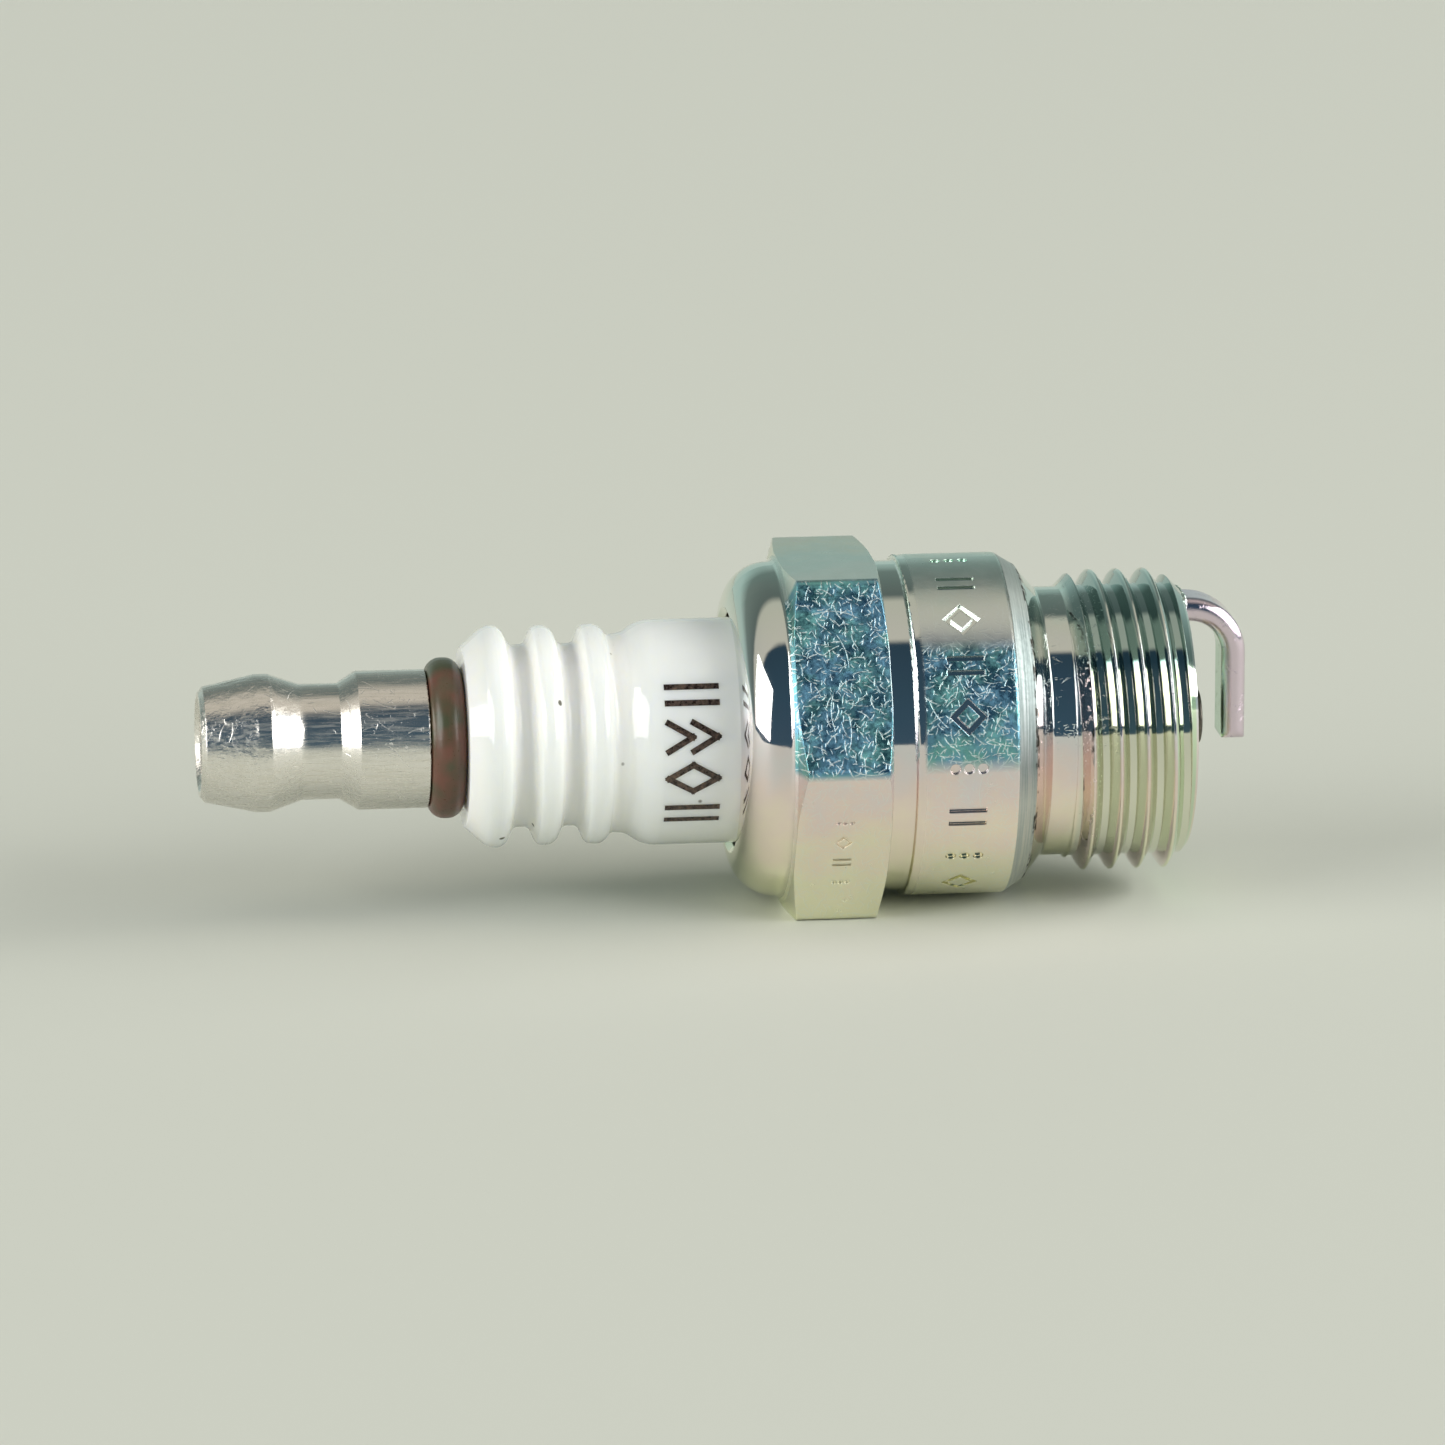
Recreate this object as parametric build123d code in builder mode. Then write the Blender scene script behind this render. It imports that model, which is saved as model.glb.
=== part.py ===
from build123d import *

import os
from math import cos, radians, sin, sqrt, tan

# Spark plug with a conical seat, M14 x 1.25 thread and 16 mm hexagon.
# X runs along the plug's axis towards the firing end, and X = 0 is the middle of the
# conical seat. Z is up: the plug lies on one flat of its hexagon. All sizes are millimetres.

# Shell, the plated steel body
thread_radius = 6.95
thread_pitch = 1.25
thread_start = 3.1
thread_chamfer = 0.9
groove_start = 2.18  # the helix of the groove begins and ends off the thread
groove_end = 9.48
relief_radius = 6.22
relief_start = 1.3
relief_end = 2.4
shell_end = 8.05
seat_half_angle = 31.5
seat_small_radius = 7.32
seat_end = 0.4
seat_step = 0.1
barrel_radius = 7.87
barrel_start = -5.15
groove_radius = 7.62
hex_across_flats = 16.0
hex_start = -10.65
hex_end = -6.29
hex_chamfer_radius = 8.1
hex_chamfer_angle = 17.0
hex_corner_round = 0.45
collar_radius = 7.72
collar_fillet = 0.26
crimp_start = -13.0
crimp_round = 2.0
crimp_thickness = 1.05
lip_radius = 5.42
cavity_radius = 6.4
cavity_end = -3.6
throat_radius = 5.1
throat_start = -2.9
ledge_start = 1.35
ledge_radius = 4.35
firing_bore_radius = 4.7

# Stamped index marks: a ring of them round the barrel and a short row on one hexagon flat
stamp_depth = 0.18
stamp_line_share = 0.15  # of the mark's width
barrel_stamp_width = 1.75
barrel_stamp_x = -2.8
barrel_stamp_first = 86
barrel_stamp_step = -17.5
flat_stamp_width = 0.85
flat_stamp_first = 1.6
flat_stamp_step = -1.25

# Insulator, glazed alumina
insulator_top = -25.27
insulator_face_radius = 4.15
rib_radius = 5.08
rib_valley_radius = 4.2
body_radius = 5.2
shoulder_start = -9.5
shoulder_end = -8.6
big_radius = 6.3
big_end = -4.0
lower_radius = 5.0
seat_gap = 0.45
nose_radius = 3.6
nose_tip_radius = 2.35
nose_tip = 7.6
stud_bore_radius = 1.95
nose_bore_radius = 1.3

# Terminal: stud, nut and sealing ring
nut_end = -37.4
nut_base = -26.94
nut_collar_radius = 3.175
nut_neck_radius = 2.66
nut_base_radius = 3.19
nut_bore_radius = 2.03
stud_thread_radius = 1.98
stud_pitch = 0.7
stud_end = -36.8
stud_flange_radius = 2.45
stud_shank_radius = 1.85
stud_foot_radius = 1.5
stud_foot_start = -9.6
stud_foot_end = -6.0
ring_inner_radius = 2.48
ring_outer_radius = 3.7

# Electrodes and the parts sealed inside
spark_gap = 0.9
strap_thickness = 1.1
strap_width = 2.6
strap_radius = 5.3
strap_inner_face = 9.92
strap_bend = 1.55
strap_tip = -0.85
strap_edge_round = 0.5
electrode_radius = 1.25
electrode_head_radius = 1.75
electrode_head_start = -1.8
electrode_head_end = -0.6
core_radius = 0.6
core_end = 7.3
packing_wire_radius = 0.5
play = 0.02  # clearance between neighbouring solids


def half_section(*corners):
    """The face inside closed corners given as (x, radius, corner round), on the XZ plane."""
    points = [(x, radius) for x, radius, _ in corners]
    rounds = [corner_round for _, _, corner_round in corners]
    with BuildSketch(Plane.XZ) as section:
        with BuildLine():
            FilletPolyline(*points, radius=rounds, close=True)
        make_face()
    return section.sketch


def thread_groove(major_radius, pitch, start, end):
    """The helical groove of a right-hand metric thread, as the solid that is cut away.

    Its root is slightly rounded and its flanks open out near the crest, as on a rolled thread.
    """
    depth = 0.625 * sqrt(0.75) * pitch
    root_half_gap = pitch / 8
    crest_depth = 0.13 * pitch
    flank_half_gap = pitch * 7 / 16 - crest_depth * tan(radians(30))
    crest_half_gap = 0.488 * pitch
    above_crest = 0.02 * pitch
    overshoot = 0.2 * pitch
    with BuildPart() as cutter:
        with BuildLine() as path:
            Helix(pitch, end - start, major_radius, (start, 0, 0), (1, 0, 0))
        begin = path.line @ 0
        outward = (begin - Vector(start, 0, 0)).normalized()
        with BuildSketch(Plane(begin, outward, path.line % 0)):
            with BuildLine():
                Polyline(
                    (-depth, root_half_gap),
                    (-crest_depth, flank_half_gap),
                    (above_crest, crest_half_gap),
                    (overshoot, crest_half_gap),
                    (overshoot, -crest_half_gap),
                    (above_crest, -crest_half_gap),
                    (-crest_depth, -flank_half_gap),
                    (-depth, -root_half_gap),
                    close=True,
                )
            make_face()
        sweep(is_frenet=True)
    return cutter.part


def tangent_plane(x, angle, radius):
    """The plane that touches a cylinder about X at this angle, measured up from the -Y side."""
    outward = Vector(0, -cos(radians(angle)), sin(radians(angle)))
    return Plane(Vector(x, 0, 0) + outward * radius, (1, 0, 0), outward)


def diamond(width):
    """An outlined diamond in the current sketch."""
    RegularPolygon(width / 2, 4)
    RegularPolygon(width / 2 - stamp_line_share * width * sqrt(2), 4, mode=Mode.SUBTRACT)


def ticks(width):
    """Two parallel ticks along the axis in the current sketch."""
    with GridLocations(0, 2.6 * stamp_line_share * width, 1, 2):
        Rectangle(width, stamp_line_share * width)


def dots(width):
    """Three round dots along the axis in the current sketch."""
    dot_radius = 0.14 * width
    with GridLocations(width / 2 - dot_radius, 0, 3, 1):
        Circle(dot_radius)


# Terminal nut: a turned connector post with a collar that the lead's clip snaps over
with BuildPart() as terminal_nut:
    revolve(
        half_section(
            (nut_end, 2.4, 0.05),
            (nut_end + 0.22, nut_neck_radius, 0.05),
            (-34.8, nut_collar_radius, 0),
            (-34.2, nut_collar_radius, 0),
            (-32.7, nut_neck_radius, 0.9),
            (-31.0, nut_neck_radius, 0.08),
            (-30.14, nut_base_radius, 0.05),
            (nut_base, nut_base_radius, 0.06),
            (nut_base, nut_bore_radius + 0.2, 0),
            (nut_base - 0.2, nut_bore_radius, 0),
            (nut_end + 0.2, nut_bore_radius, 0),
            (nut_end, nut_bore_radius + 0.2, 0),
        ),
        Axis.X,
    )
terminal_nut.part.label = "terminal_nut"

# Terminal stud: a threaded end, a flange on the insulator, and a grooved foot in the glass
foot_groove_count = 5
foot_groove_pitch = 0.6
foot_groove_depth = 0.22
with BuildPart() as terminal_stud:
    revolve(
        half_section(
            (stud_end, 0, 0),
            (stud_end, 1.55, 0),
            (stud_end + 0.45, stud_thread_radius, 0),
            (nut_base - 0.4, stud_thread_radius, 0),
            (nut_base - 0.1, 1.55, 0),
            (nut_base + play, 1.55, 0),
            (nut_base + play, stud_flange_radius, 0.1),
            (insulator_top - play, stud_flange_radius, 0.1),
            (insulator_top - play, stud_shank_radius, 0),
            (stud_foot_start, stud_shank_radius, 0.1),
            (stud_foot_start + 0.4, stud_foot_radius, 0.1),
            (stud_foot_end, stud_foot_radius, 0.2),
            (stud_foot_end, 0, 0),
        ),
        Axis.X,
    )
    add(
        thread_groove(stud_thread_radius, stud_pitch, stud_end - 0.5, nut_base - 0.36),
        mode=Mode.SUBTRACT,
    )
    for turn in range(foot_groove_count):
        centre = stud_foot_end - 0.5 - turn * foot_groove_pitch
        revolve(
            half_section(
                (centre - foot_groove_depth, stud_foot_radius + play, 0),
                (centre, stud_foot_radius - foot_groove_depth, 0),
                (centre + foot_groove_depth, stud_foot_radius + play, 0),
            ),
            Axis.X,
            mode=Mode.SUBTRACT,
        )
terminal_stud.part.label = "terminal_stud"

# Sealing ring round the stud's flange, an oval section squeezed under the nut
with BuildPart() as terminal_seal_ring:
    revolve(
        half_section(
            (nut_base + play, ring_inner_radius, 0.3),
            (nut_base + play, ring_outer_radius, 0.74),
            (insulator_top - play, ring_outer_radius, 0.74),
            (insulator_top - play, ring_inner_radius, 0.3),
        ),
        Axis.X,
    )
terminal_seal_ring.part.label = "terminal_seal_ring"

# Insulator: three soft ribs above the shell, then the sealed head, seat and nose inside it
seat_line = ledge_start - seat_gap + throat_radius
with BuildPart() as insulator:
    revolve(
        half_section(
            (insulator_top, insulator_face_radius, 0.12),
            (-24.2, rib_radius + 0.04, 0.9),
            (-23.5, rib_radius + 0.04, 0.55),
            (-23.05, rib_valley_radius, 0.4),
            (-22.3, rib_valley_radius, 0.35),
            (-21.95, rib_radius - 0.05, 0.32),
            (-21.2, rib_radius + 0.03, 0.6),
            (-20.78, rib_valley_radius, 0.4),
            (-20.05, rib_valley_radius, 0.35),
            (-19.7, rib_radius - 0.05, 0.32),
            (-18.95, rib_radius + 0.03, 0.62),
            (-18.55, 4.55, 0.4),
            (-17.85, 4.62, 0.7),
            (-17.0, body_radius, 1.6),
            (shoulder_start, body_radius, 0.4),
            (shoulder_end, big_radius, 0.4),
            (big_end, big_radius, 0.4),
            (big_end + 0.7, lower_radius, 0.4),
            (seat_line - lower_radius, lower_radius, 0.2),
            (seat_line - nose_radius, nose_radius, 0.4),
            (nose_tip, nose_tip_radius, 0.45),
            (nose_tip, nose_bore_radius, 0.15),
            (electrode_head_end + play, nose_bore_radius, 0),
            (electrode_head_end + play, stud_bore_radius, 0),
            (insulator_top, stud_bore_radius, 0.1),
        ),
        Axis.X,
    )
insulator.part.label = "insulator"

# Glass seal: a cup of fused glass round the stud's foot, above the electrode's head
with BuildPart() as glass_seal:
    revolve(
        half_section(
            (stud_foot_start + 0.5, stud_foot_radius + play, 0),
            (stud_foot_start + 0.5, stud_bore_radius - play, 0),
            (electrode_head_start - play, stud_bore_radius - play, 0),
            (electrode_head_start - play, 0, 0),
            (stud_foot_end + play, 0, 0),
            (stud_foot_end + play, stud_foot_radius + play, 0),
        ),
        Axis.X,
    )
glass_seal.part.label = "glass_seal"

# Centre electrode: nickel alloy, headed at the top and bored for its copper core
electrode_tip = strap_inner_face - spark_gap
with BuildPart() as center_electrode:
    revolve(
        half_section(
            (electrode_head_start, core_radius + play, 0),
            (electrode_head_start, electrode_head_radius, 0.2),
            (electrode_head_end, electrode_head_radius, 0.1),
            (electrode_head_end, electrode_radius, 0.1),
            (electrode_tip, electrode_radius, 0.08),
            (electrode_tip, 0, 0),
            (core_end + 0.3, 0, 0),
            (core_end, core_radius + play, 0),
        ),
        Axis.X,
    )
center_electrode.part.label = "center_electrode"

with BuildPart() as copper_core:
    revolve(
        half_section(
            (electrode_head_start, 0, 0),
            (electrode_head_start, core_radius, 0),
            (core_end - play, core_radius, 0.1),
            (core_end - play, 0, 0),
        ),
        Axis.X,
    )
copper_core.part.label = "copper_core"

# Shell: crimped collar, hexagon, barrel, conical seat and thread
barrel_end = seat_end - (barrel_radius - seat_small_radius) / tan(radians(seat_half_angle))
hex_chamfer = (hex_across_flats / sqrt(3) - hex_chamfer_radius) * tan(radians(hex_chamfer_angle))
hex_disc_radius = hex_chamfer_radius + hex_chamfer / tan(radians(hex_chamfer_angle))
crimp_inside = crimp_start + crimp_thickness
with BuildPart() as shell:
    with BuildSketch(Plane.YZ.offset(hex_start)):
        corners = RegularPolygon(hex_across_flats / 2, 6, major_radius=False).vertices()
        fillet(corners, hex_corner_round)
    extrude(amount=hex_end - hex_start)
    revolve(
        half_section(
            (hex_start, 0, 0),
            (hex_start, hex_chamfer_radius, 0),
            (hex_start + hex_chamfer, hex_disc_radius, 0),
            (hex_end - hex_chamfer, hex_disc_radius, 0),
            (hex_end, hex_chamfer_radius, 0),
            (hex_end, 0, 0),
        ),
        Axis.X,
        mode=Mode.INTERSECT,
    )
    revolve(
        half_section(
            (crimp_start, 0, 0),
            (crimp_start, collar_radius, crimp_round),
            (hex_start - collar_fillet, collar_radius, 0.2),
            (hex_start, collar_radius + collar_fillet, 0),
            (hex_start + 0.2, collar_radius, 0),
            (hex_end - 0.2, groove_radius, 0),
            (barrel_start, groove_radius, 0.1),
            (barrel_start, barrel_radius, 0.1),
            (barrel_end, barrel_radius, 0.3),
            (seat_end, seat_small_radius, 0.02),
            (seat_end + seat_step / 2, seat_small_radius - seat_step, 0.02),
            (relief_start, relief_radius, 0.15),
            (relief_end, relief_radius, 0.1),
            (thread_start, thread_radius, 0),
            (shell_end - thread_chamfer, thread_radius, 0),
            (shell_end, thread_radius - thread_chamfer, 0),
            (shell_end, 0, 0),
        ),
        Axis.X,
    )
    revolve(
        half_section(
            (crimp_start - 1, 0, 0),
            (crimp_start - 1, lip_radius + 1, 0),
            (crimp_start, lip_radius + 0.25, 0),
            (crimp_start + 0.25, lip_radius, 0.1),
            (crimp_inside, lip_radius, 0.1),
            (crimp_inside + 0.2, cavity_radius, 0.2),
            (cavity_end, cavity_radius, 0),
            (throat_start, throat_radius, 0),
            (ledge_start, throat_radius, 0),
            (ledge_start + throat_radius - ledge_radius, ledge_radius, 0),
            (2.6, ledge_radius, 0),
            (3.0, firing_bore_radius, 0),
            (shell_end - 0.15, firing_bore_radius, 0),
            (shell_end + 1, firing_bore_radius + 1.15, 0),
            (shell_end + 1, 0, 0),
        ),
        Axis.X,
        mode=Mode.SUBTRACT,
    )
    add(
        thread_groove(thread_radius, thread_pitch, groove_start, groove_end),
        mode=Mode.SUBTRACT,
    )
    for place, mark in enumerate((dots, ticks, diamond, ticks, diamond, dots, ticks, dots, diamond)):
        stamp_angle = barrel_stamp_first + barrel_stamp_step * place
        with BuildSketch(tangent_plane(barrel_stamp_x, stamp_angle, barrel_radius - stamp_depth)):
            mark(barrel_stamp_width)
        extrude(amount=2 * stamp_depth, mode=Mode.SUBTRACT)
    for place, mark in enumerate((dots, diamond, ticks, dots)):
        flat = tangent_plane((hex_start + hex_end) / 2, -30, hex_across_flats / 2 - stamp_depth / 2)
        with BuildSketch(flat):
            with Locations((0, flat_stamp_first + flat_stamp_step * place)):
                mark(flat_stamp_width)
        extrude(amount=stamp_depth, mode=Mode.SUBTRACT)
shell.part.label = "shell"

# Ground electrode: a flat strap butt-welded on the shell's end face and bent over the gap
strap_outer = strap_radius + strap_thickness / 2
strap_inner = strap_radius - strap_thickness / 2
strap_face = strap_inner_face + strap_thickness
with BuildPart() as ground_electrode:
    with BuildSketch(Plane.XZ):
        with BuildLine():
            FilletPolyline(
                (shell_end, strap_inner),
                (shell_end, strap_outer),
                (strap_face, strap_outer),
                (strap_face, strap_tip),
                (strap_inner_face, strap_tip),
                (strap_inner_face, strap_inner),
                radius=(0, 0, strap_bend + strap_thickness, 0.08, 0.08, strap_bend),
                close=True,
            )
        make_face()
    extrude(amount=strap_width / 2, both=True)
    sides = ground_electrode.faces().filter_by(Axis.Y)
    edges = [edge for face in sides for edge in face.edges() if edge.center().X > shell_end + 0.01]
    fillet(edges, strap_edge_round)
ground_electrode.part.label = "ground_electrode"

# Seals and packing between the insulator and the shell
gasket_outer = throat_radius - 6 * play
gasket_inner = ledge_radius + play
gasket_front = ledge_start + throat_radius - play
gasket_back = seat_line + play
with BuildPart() as seat_gasket:
    revolve(
        half_section(
            (gasket_back - gasket_outer, gasket_outer, 0),
            (gasket_front - gasket_outer, gasket_outer, 0),
            (gasket_front - gasket_inner, gasket_inner, 0),
            (gasket_back - gasket_inner, gasket_inner, 0),
        ),
        Axis.X,
    )
seat_gasket.part.label = "seat_gasket"

packing_middle = (body_radius + cavity_radius) / 2
upper_ring_centre = crimp_inside + 0.2 + packing_wire_radius
shoulder_slope = (big_radius - body_radius) / (shoulder_end - shoulder_start)
shoulder_at_middle = shoulder_start + (packing_middle - body_radius) / shoulder_slope
ring_standoff = (packing_wire_radius + play) * sqrt(1 + shoulder_slope**2) / shoulder_slope
lower_ring_centre = shoulder_at_middle - ring_standoff
with BuildPart() as upper_packing_ring:
    with BuildSketch(Plane.XZ):
        with Locations((upper_ring_centre, packing_middle)):
            Circle(packing_wire_radius)
    revolve(axis=Axis.X)
upper_packing_ring.part.label = "upper_packing_ring"

with BuildPart() as lower_packing_ring:
    with BuildSketch(Plane.XZ):
        with Locations((lower_ring_centre, packing_middle)):
            Circle(packing_wire_radius)
    revolve(axis=Axis.X)
lower_packing_ring.part.label = "lower_packing_ring"

with BuildPart() as talc_filler:
    revolve(
        half_section(
            (upper_ring_centre + packing_wire_radius + play, body_radius + play, 0),
            (upper_ring_centre + packing_wire_radius + play, cavity_radius - play, 0),
            (lower_ring_centre - packing_wire_radius - play, cavity_radius - play, 0),
            (lower_ring_centre - packing_wire_radius - play, body_radius + play, 0),
        ),
        Axis.X,
    )
talc_filler.part.label = "talc_filler"

os.makedirs("parts", exist_ok=True)
for piece in (
    terminal_nut,
    terminal_stud,
    terminal_seal_ring,
    insulator,
    glass_seal,
    center_electrode,
    copper_core,
    shell,
    ground_electrode,
    seat_gasket,
    upper_packing_ring,
    lower_packing_ring,
    talc_filler,
):
    export_step(piece.part, f"parts/{piece.part.label}.step")
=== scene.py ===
import bmesh
import bpy
import math
import random
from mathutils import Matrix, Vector, noise


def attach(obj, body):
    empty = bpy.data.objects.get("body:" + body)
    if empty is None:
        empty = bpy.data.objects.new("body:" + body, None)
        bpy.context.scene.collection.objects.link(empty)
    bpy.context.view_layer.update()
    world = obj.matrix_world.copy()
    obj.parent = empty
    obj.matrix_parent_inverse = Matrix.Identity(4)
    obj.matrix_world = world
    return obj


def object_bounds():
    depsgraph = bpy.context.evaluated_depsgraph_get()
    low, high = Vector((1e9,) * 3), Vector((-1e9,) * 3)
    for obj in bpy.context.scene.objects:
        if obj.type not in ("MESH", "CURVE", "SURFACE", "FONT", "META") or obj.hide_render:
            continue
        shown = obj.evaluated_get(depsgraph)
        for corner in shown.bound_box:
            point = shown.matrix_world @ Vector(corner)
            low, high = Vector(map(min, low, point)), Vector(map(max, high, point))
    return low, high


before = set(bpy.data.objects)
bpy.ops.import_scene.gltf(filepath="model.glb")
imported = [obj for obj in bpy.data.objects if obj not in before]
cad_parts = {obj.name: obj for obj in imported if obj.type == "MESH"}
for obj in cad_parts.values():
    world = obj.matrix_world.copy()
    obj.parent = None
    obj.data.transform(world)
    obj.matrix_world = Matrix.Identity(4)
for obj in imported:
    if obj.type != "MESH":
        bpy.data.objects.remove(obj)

cadLow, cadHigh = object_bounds()  # the CAD model's box, before anything is added
mm = 0.001
degree = math.pi / 180


def hexColour(code, alpha=1.0):
    # sRGB hex to the linear values that shaders work in
    channels = [int(code[i:i + 2], 16) / 255 for i in (1, 3, 5)]
    return [c / 12.92 if c <= 0.04045 else ((c + 0.055) / 1.055) ** 2.4 for c in channels] + [alpha]


def addNode(tree, kind, settings=None, links=None):
    # one node with its settings and what feeds it: a socket, or a node for its first output
    node = tree.nodes.new("ShaderNode" + kind)
    for name, value in (settings or {}).items():
        if name == "stops":  # of a colour ramp, as (position, sRGB hex) pairs
            elements = node.color_ramp.elements
            while len(elements) < len(value):
                elements.new(0.5)
            for element, (position, colour) in zip(elements, value):
                element.position = position
                element.color = hexColour(colour)
        elif isinstance(name, int) or name in node.inputs:
            node.inputs[name].default_value = value
        else:
            setattr(node, name, value)
    for name, source in (links or {}).items():
        if isinstance(source, bpy.types.Node):
            source = source.outputs[0]
        tree.links.new(source, node.inputs[name])
    return node


def newMaterial(name):
    material = bpy.data.materials.new(name)
    material.use_nodes = True
    tree = material.node_tree
    tree.nodes.clear()
    return material, tree


def finishMaterial(tree, settings, links):
    shader = addNode(tree, "BsdfPrincipled", settings, links)
    addNode(tree, "OutputMaterial", None, {"Surface": shader})


print("camera")
cameraFacts = {
    "elevation": 14.0 * degree,
    "yaw": 6.8 * degree,  # round towards the terminal end
    "distance": 0.5,
    "frameWidth": 66.6 * mm,  # what the frame spans at the plug
    "sensor": 36.0,
    "aimHeight": 0.34 * mm,
}


def makeCamera():
    flat = math.cos(cameraFacts["elevation"])
    lookFrom = Vector((
        -math.sin(cameraFacts["yaw"]) * flat,
        -math.cos(cameraFacts["yaw"]) * flat,
        math.sin(cameraFacts["elevation"]),
    ))
    data = bpy.data.cameras.new("camera")
    data.sensor_width = cameraFacts["sensor"]
    data.lens = cameraFacts["sensor"] * cameraFacts["distance"] / cameraFacts["frameWidth"]
    data.clip_start = 0.01
    data.clip_end = 50
    camera = bpy.data.objects.new("camera", data)
    camera.location = Vector(((cadLow.x + cadHigh.x) / 2, 0, cameraFacts["aimHeight"]))
    camera.location += lookFrom * cameraFacts["distance"]
    camera.rotation_mode = "QUATERNION"
    camera.rotation_quaternion = (-lookFrom).to_track_quat("-Z", "Y")
    bpy.context.scene.collection.objects.link(camera)
    bpy.context.scene.camera = camera
    bpy.context.scene.view_settings.view_transform = "Standard"


makeCamera()

print("studio")
studio = {
    # pale floor, two big soft boxes, and a room that the bright metal reflects
    "floorColour": "#cdcfc5",
    "floorRadius": 6.0,
    "floorTooth": 900.0,  # bumps per metre, drawn coarser than real board so that they show
    "lampStrength": 5.0,  # radiance of the soft boxes' faces
    "lampDistance": 4.0,
    "lampColour": "#fffefb",
    # azimuth from and to, elevation from and to, in degrees; 0 is the camera's side, + is the firing end
    "lamps": {"boxLeft": (-90, -44, 3, 38), "boxRight": (35, 112, 5, 45)},
    # what lies in each direction over the plug, from the camera's side (0) to behind (180)
    "room": (
        (-90, "#d2d0c6"), (-1, "#d2d0c6"), (0, "#3c5564"), (72, "#304453"),
        (76, "#cbc5b8"), (110, "#c3bfb4"), (117, "#626c6a"), (150, "#76827e"),
        (166, "#b0c2bd"), (180, "#bcc9c1"),
    ),
    "backdropSeen": "#cbcdbf",
}


def makeFloor():
    mesh = bpy.data.meshes.new("floor")
    build = bmesh.new()
    bmesh.ops.create_circle(build, cap_ends=True, segments=96, radius=studio["floorRadius"])
    build.to_mesh(mesh)
    build.free()
    floor = bpy.data.objects.new("floor", mesh)
    floor.location.z = cadLow.z - 0.01 * mm
    bpy.context.scene.collection.objects.link(floor)
    # matt painted board: even, with a hint of tooth
    material, tree = newMaterial("paintedBoard")
    place = addNode(tree, "TexCoord").outputs["Object"]
    tooth = addNode(tree, "TexNoise", {"Scale": studio["floorTooth"], "Detail": 4.0}, {"Vector": place})
    bump = addNode(tree, "Bump", {"Strength": 0.1, "Distance": 0.05 * mm}, {"Height": tooth})
    finishMaterial(
        tree,
        {"Base Color": hexColour(studio["floorColour"]), "Roughness": 0.7, "Specular IOR Level": 0.25},
        {"Normal": bump},
    )
    floor.data.materials.append(material)


def makeLamp(name, azimuthFrom, azimuthTo, elevationFrom, elevationTo):
    azimuth = (azimuthFrom + azimuthTo) / 2 * degree
    elevation = (elevationFrom + elevationTo) / 2 * degree
    towards = Vector((
        math.sin(azimuth) * math.cos(elevation),
        -math.cos(azimuth) * math.cos(elevation),
        math.sin(elevation),
    ))
    distance = studio["lampDistance"]
    data = bpy.data.lights.new(name, "AREA")
    data.shape = "RECTANGLE"
    data.size = 2 * distance * math.tan((azimuthTo - azimuthFrom) * degree / 2) * math.cos(elevation)
    data.size_y = 2 * distance * math.tan((elevationTo - elevationFrom) * degree / 2)
    data.energy = studio["lampStrength"] * math.pi * data.size * data.size_y
    data.color = hexColour(studio["lampColour"])[:3]
    lamp = bpy.data.objects.new(name, data)
    lamp.location = towards * distance
    lamp.rotation_mode = "QUATERNION"
    lamp.rotation_quaternion = (-towards).to_track_quat("-Z", "Y")
    lamp.visible_camera = False
    bpy.context.scene.collection.objects.link(lamp)


def angleRound(tree, parts):
    # angle round the plug's axis, up from the camera's side, from a point's or a direction's parts
    front = addNode(tree, "Math", {"operation": "MULTIPLY", 1: -1.0}, {0: parts.outputs["Y"]})
    return addNode(tree, "Math", {"operation": "ARCTAN2"}, {0: parts.outputs["Z"], 1: front})


def makeRoom():
    world = bpy.data.worlds.new("room")
    world.use_nodes = True
    tree = world.node_tree
    tree.nodes.clear()
    place = addNode(tree, "TexCoord").outputs["Generated"]
    parts = addNode(tree, "SeparateXYZ", None, {0: place})
    angle = angleRound(tree, parts)
    share = addNode(tree, "MapRange", {1: -90 * degree, 2: 180 * degree}, {0: angle})
    stops = [((degrees + 90) / 270, colour) for degrees, colour in studio["room"]]
    bands = addNode(tree, "ValToRGB", {"stops": stops}, {0: share})
    seen = addNode(tree, "LightPath").outputs["Is Camera Ray"]
    colour = addNode(
        tree, "Mix", {"data_type": "RGBA", 7: hexColour(studio["backdropSeen"])}, {0: seen, 6: bands}
    )
    light = addNode(tree, "Background", None, {"Color": colour.outputs[2]})
    addNode(tree, "OutputWorld", None, {"Surface": light})
    bpy.context.scene.world = world


makeFloor()
for lampName, reach in studio["lamps"].items():
    makeLamp(lampName, *reach)
makeRoom()


def placeInMm(tree):
    place = addNode(tree, "TexCoord").outputs["Object"]
    return addNode(tree, "VectorMath", {"operation": "SCALE", "Scale": 1 / mm}, {0: place})


def turnedPlace(tree):
    # where a point lies on the turned parts: in mm, along the axis, round it and out from it
    place = placeInMm(tree)
    parts = addNode(tree, "SeparateXYZ", None, {0: place})
    across = addNode(tree, "CombineXYZ", None, {"Y": parts.outputs["Y"], "Z": parts.outputs["Z"]})
    radius = addNode(tree, "VectorMath", {"operation": "LENGTH"}, {0: across})
    return {
        "mm": place,
        "x": parts.outputs["X"],
        "angle": angleRound(tree, parts),
        "radius": radius.outputs["Value"],
    }


def makeBand(tree, value, start, end, soft):
    # 1 between start and end, falling to 0 over the soft distance on each side
    rise = addNode(tree, "MapRange", {1: start - soft, 2: start}, {0: value})
    fall = addNode(tree, "MapRange", {1: end + soft, 2: end}, {0: value})
    return addNode(tree, "Math", {"operation": "MULTIPLY"}, {0: rise, 1: fall})


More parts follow.
